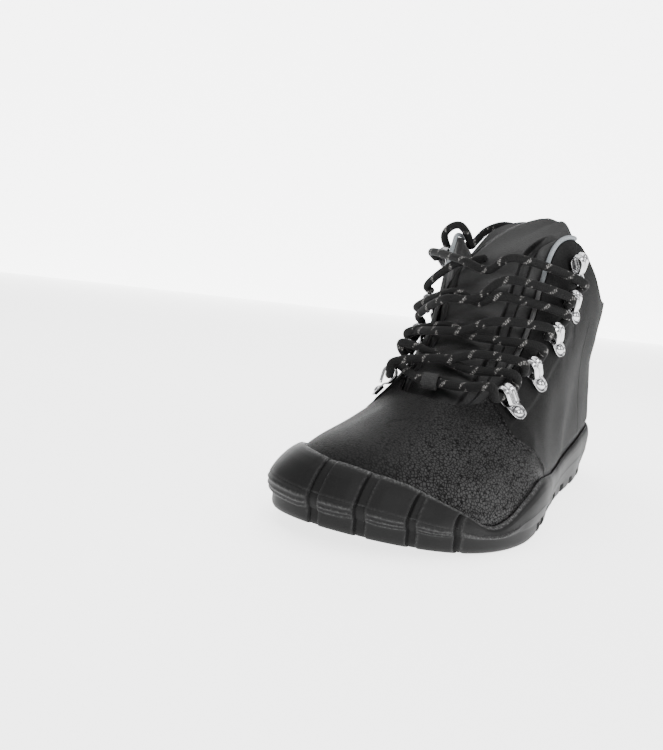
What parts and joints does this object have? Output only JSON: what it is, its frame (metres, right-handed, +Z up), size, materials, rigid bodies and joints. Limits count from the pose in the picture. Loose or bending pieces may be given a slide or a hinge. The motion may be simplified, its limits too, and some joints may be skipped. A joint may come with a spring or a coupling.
{
  "type": "hiking boot",
  "caption": "Left ankle-height hiking boot: hollow leather upper in a wrapped rubber cup sole, with tongue, insole, lace hooks and round lace.",
  "frame": {"origin": "floor contact of a tread lug under the heel", "axes": "+X to the toe, +Y to the little-toe side, +Z up"},
  "size_m": [0.2865, 0.1133, 0.1616],
  "materials": {
    "rubber": "moulded, satin wall and pebbled grooves",
    "leather": "pebble grain, soft sheen",
    "tongue_leather": "smooth, padded",
    "reflective_piping": "grey reflective tape",
    "chrome": "polished",
    "lace_cord": "braided black with grey flecks",
    "webbing": "ribbed webbing",
    "insole_fabric": "felted lining"
  },
  "bodies": {
    "root": {"sole": "rubber", "upper": "leather", "insole": "insole_fabric", "tongue": "tongue_leather", "piping_lateral": "reflective_piping", "piping_medial": "reflective_piping", "hook_lateral_1": "chrome", "hook_lateral_2": "chrome", "hook_lateral_3": "chrome", "hook_lateral_4": "chrome", "hook_lateral_5": "chrome", "hook_medial_1": "chrome", "hook_medial_2": "chrome", "hook_medial_3": "chrome", "hook_medial_4": "chrome", "hook_medial_5": "chrome", "lace_bar_base": "lace_cord", "lace_cross_1": "lace_cord", "lace_cross_2": "lace_cord", "lace_cross_3": "lace_cord", "lace_bar_top": "lace_cord", "lace_end_tuck": "lace_cord", "lace_end_arch": "lace_cord", "lace_keeper": "webbing"}
  },
  "joints": []
}
